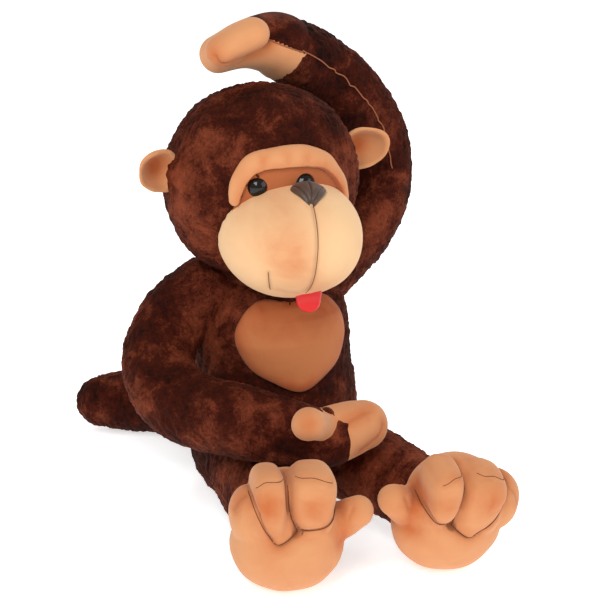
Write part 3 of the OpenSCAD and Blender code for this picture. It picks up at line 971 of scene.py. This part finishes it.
leftSleeve = sleeve("leftArmSkin", leftArm, (0, 1, 0), 0, 5.75, 5)
cuffArm = [(*p[:3], p[3] + (1.0 if k > 5 else 0)) for k, p in enumerate(rightArm)]
rightSleeve = sleeve("rightArmSkin", cuffArm, rightUp, 0, 6.5, 6)
nap(leftSleeve, 33)
nap(rightSleeve, 34, calm=(-2, -162, 117))
start, end = bendPoints(leftArm, 3, 34)
armSeam = crease(
    leftSleeve,
    [(30, -2, 468), (67, 6, 444), (95, 6, 420), (116, 8, 394), (131, 11, 366), (138, 12, 330)], 0.8,
    1.6, dark=0.0, soft=0.8
)
armPiping = cordObject("armPiping", [np.array([*p[:3], 0.7]) for p in armSeam])
finishPiece(armPiping, pipingMaterial, "left_upper_arm", [], blendTo=("left_forearm", start, end))
finishPiece(
    leftSleeve, plush, "left_upper_arm",
    ["left_upper_arm_cover", "left_upper_arm_filling", "left_forearm_cover", "left_forearm_filling"],
    blendTo=("left_forearm", start, end)
)
start, end = bendPoints(rightArm, 3, 30)
finishPiece(
    rightSleeve, plush, "right_upper_arm",
    [
        "right_upper_arm_cover", "right_upper_arm_filling", "right_forearm_cover",
        "right_forearm_filling"
    ],
    blendTo=("right_forearm", start, end)
)


def makeHand(word, path, up, thumb, seed):
    palm = tubeObject("palm", path, up, 6, 9, sides=48, step=3)
    thumbTube = tubeObject("thumb", thumb, up, 0, len(thumb) - 1, sides=40, step=3)
    hand = melt(word + "HandSkin", [palm, thumbTube], 2.2, smooth=10)
    lumps(hand, 24, 0.9, seed)
    return hand


leftHand = makeHand(
    "left", leftArm, (0, 1, 0), [(-22, -8, 487, 17), (-38, -8, 480, 17.5), (-54, -8, 472, 17)], 7
)
rightHand = makeHand(
    "right", rightArm, rightUp, [(-4, -172, 128, 13), (-22, -184, 139, 14), (-40, -207, 152, 16.5)], 8
)
crease(
    leftHand,
    [(-66, -20, 470), (-58, -22, 458), (-40, -18, 463), (-22, -12, 468), (-6, -8, 473), (0, -4, 486)],
    2.2, 2.2, dark=0.45, darkWidth=1.2, blush=0.8, warmShadeWidth=12, soft=1.4
)
crease(
    rightHand, [(37, -174, 142), (19, -181, 140), (6, -187, 134), (3, -190, 126)], 1.6, 2.4, dark=0.15,
    darkWidth=1.2, blush=0.5, warmShadeWidth=9, soft=1.4
)
crease(
    rightHand, [(50, -180, 128), (46, -184, 118), (38, -184, 112), (26, -188, 102)], 1.8, 2.6, dark=0.2,
    darkWidth=1.4, blush=0.7, warmShadeWidth=10, soft=1.2
)
# painted shade: warm shade round the thumb's tip
co = coords(rightHand) / mm
paint(
    rightHand, "blush",
    0.6 * np.exp(-(np.linalg.norm(co - np.array([-44, -222, 158]), axis=1) / 12) ** 2)
)


palmSeam = dict(clear=19.5, tip=-18, height=478.5, slope=0.46)


def handBack(p):  # the plush back of the raised hand, above its palm seam and clear of the thumb
    thumb = distanceTo(p, np.array([(-22, -8, 487), (-54, -8, 472)], float)) > palmSeam["clear"]
    above = p[:, 2] > palmSeam["height"] - palmSeam["slope"] * (p[:, 0] + 1)
    return thumb & (p[:, 0] > palmSeam["tip"]) & above


handSeam = crease(
    leftHand, [(-4, -5, 481), (2, -5, 477), (12, -4, 472), (24, -3, 467), (34, 0, 463)], 0.6, 1.6,
    dark=0.0
)
finishPiece(
    cordObject("handPiping", [np.array([*p[:3], 0.7]) for p in handSeam]), pipingMaterial, "left_hand",
    []
)
leftHandBack = splitOff(leftHand, handBack, "leftHandBack")
finishPiece(
    leftHand, velvet, "left_hand", ["left_hand_cover", "left_hand_filling", "left_thumb"]
)
finishPiece(leftHandBack, plush, "left_hand", [])
finishPiece(
    rightHand, velvet, "right_hand", ["right_hand_cover", "right_hand_filling", "right_thumb"],
)

for word, path, seed in (("left", leftLeg, 9), ("right", rightLeg, 10)):
    leg = sleeve(word + "LegSkin", path, (0, 0, 1), 0, 3, seed)
    nap(leg, seed + 30)
    finishPiece(leg, plush, word + "_leg", [word + "_leg_cover", word + "_leg_filling"])

tailSkin = sleeve("tailSkin", tailPath, (0, 0, 1), 0, 4, 11)
nap(tailSkin, 41)
finishPiece(tailSkin, plush, "tail", ["tail_cover", "tail_filling"])

feet = dict(
    right=dict(groove=-3, bigDrop=6, nextDrop=6, lineDrop=6, outerSide=34, seed=13),
    left=dict(groove=11, bigDrop=14, nextDrop=10, lineDrop=10, outerSide=40, seed=12),
)


def makeFoot(word, place):
    f = feet[word]
    groove, low = f["groove"], f["lineDrop"]
    left, right = (-37 + groove) / 2, (43 + groove) / 2
    parts = [
        ballObject("heel", (0, -36, 3), (55, 44, 49), rows=40, sides=64),
        ballObject("arch", (0, -33, 32), (47, 40, 43), rows=40, sides=64),
        ballObject(
            "bigToe", (left, -50, 57 - f["bigDrop"]), ((groove + 37) / 2 + 1.5, 31, 35), rows=40,
            sides=64, power=2.9
        ),
        ballObject(
            "nextToe", (right, -49, 58 - f["nextDrop"]), ((43 - groove) / 2 + 1.5, 30, 34), rows=40,
            sides=64, power=2.9
        ),
        ballObject("outerToe", (-f["outerSide"], -41, 35), (22, 29, 31), rows=40, sides=64),
        tubeObject(
            "innerToe", [(36, -38, 18, 24), (56, -40, 27, 19), (66, -41, 31, 15.5)], (0, 1, 0), 0, 2,
            sides=48, step=3
        ),
    ]
    obj = melt(word + "FootSkin", parts, 1.8, smooth=16)
    lumps(obj, 26, 1.3, f["seed"])
    end = groove * 0.7 + 7
    lines = [
        frontCrease(
            obj,
            [(groove, 112), (groove, 90), (groove, 68 - low), (groove + 2, 50 - low), (end, 34 - low)],
            3.0, 2.0, dark=0.7, blush=0.45, soft=0.8, cord=0.55
        )
    ]
    lines.append(
        frontCrease(
            obj,
            [
                (-44, 84 - low), (-38, 68 - low), (-32, 52 - low), (-22 + groove * 0.3, 34 - low),
                (-12 + groove * 0.5, 23 - low), (end, 33 - low)
            ],
            2.4, 2.0, dark=0.6, blush=0.4, soft=1.4, cord=0.42
        )
    )
    lines.append(
        frontCrease(
            obj,
            [
                (end, 34 - low), (20 + groove * 0.3, 35 - low), (33, 38 - low), (44, 47 - low),
                (49, 60 - low)
            ],
            2.2, 2.0, dark=0.6, blush=0.45, soft=1.4, cord=0.42
        )
    )
    frontCrease(
        obj, [(47, 44), (51, 28), (50, 10)], 1.2, 3.0, dark=0.0, blush=0.85, warmShadeWidth=12, soft=2.2
    )
    frontCrease(obj, [(60, 40), (56, 32)], 1.4, 2.0, dark=0.2, blush=0.6, warmShadeWidth=8)
    frontCrease(obj, [(-40, 60), (-47, 55), (-52, 46)], 1.0, 1.8, dark=0.3, blush=0.4, warmShadeWidth=6)
    frontCrease(obj, [(-30, 50), (-20, 46), (-12, 48)], 0.8, 2.2, dark=0.0, blush=0.3, warmShadeWidth=6)
    lines.append(
        frontCrease(
            obj, [(-33, 80 - low), (left - 4, 86 - low), (groove - 3, 85 - low)], 0.5, 1.2, dark=0.0,
            blush=0.3, warmShadeWidth=5, cord=0.35
        )
    )
    lines.append(
        frontCrease(
            obj, [(groove + 3, 86 - low), (right, 87 - low), (38, 80 - low)], 0.5, 1.2, dark=0.0,
            blush=0.3, warmShadeWidth=5, cord=0.35
        )
    )
    # painted shade: warm spots on the toe tips beside the grooves
    co = coords(obj) / mm
    for x, z, wide, amount in (
        (left - 4, 66 - low, 17, 0.85), (right + 2, 60 - low, 15, 0.6), (60, 34, 12, 0.5)
    ):
        paint(
            obj, "blush",
            amount * np.exp(
                -((co[:, 0] - x) / wide) ** 2 - ((co[:, 2] - z) / wide) ** 2
            ) * (co[:, 1] < -40)
        )
    # dark tubes laid in the grooves as painted groove shadow
    folds = [cordObject(word + "FootFold" + str(k), points) for k, points in enumerate(lines)]
    for each in [obj] + folds:
        each.data.transform(place)
        if word == "left":
            each.data.flip_normals()
    for fold in folds:
        finishPiece(fold, grooveShadeMaterial, word + "_foot", [])
    return obj


def turned(path, *turns):
    place = Matrix.Translation(Vector(path[3][:3]) * mm)
    for angle, axis in turns:
        place = place @ Matrix.Rotation(math.radians(angle), 4, axis)
    return place


leftFoot = makeFoot("left", turned(leftLeg, (10, "Y"), (14, "X")) @ Matrix.Scale(-1, 4, (1, 0, 0)))
rightFoot = makeFoot("right", turned(rightLeg, (-13, "Z")))
finishPiece(leftFoot, velvet, "left_foot", ["left_foot_cover", "left_foot_filling"])
finishPiece(rightFoot, velvet, "right_foot", ["right_foot_cover", "right_foot_filling"])
print("limbs made")

floorMesh = bpy.data.meshes.new("floor")
floorMesh.from_pydata(
    [(-9, -9, -0.001), (9, -9, -0.001), (9, 9, -0.001), (-9, 9, -0.001)], [], [(0, 1, 2, 3)]
)
floor = linkObject("floor", floorMesh)
floor.data.materials.append(floorMaterial)
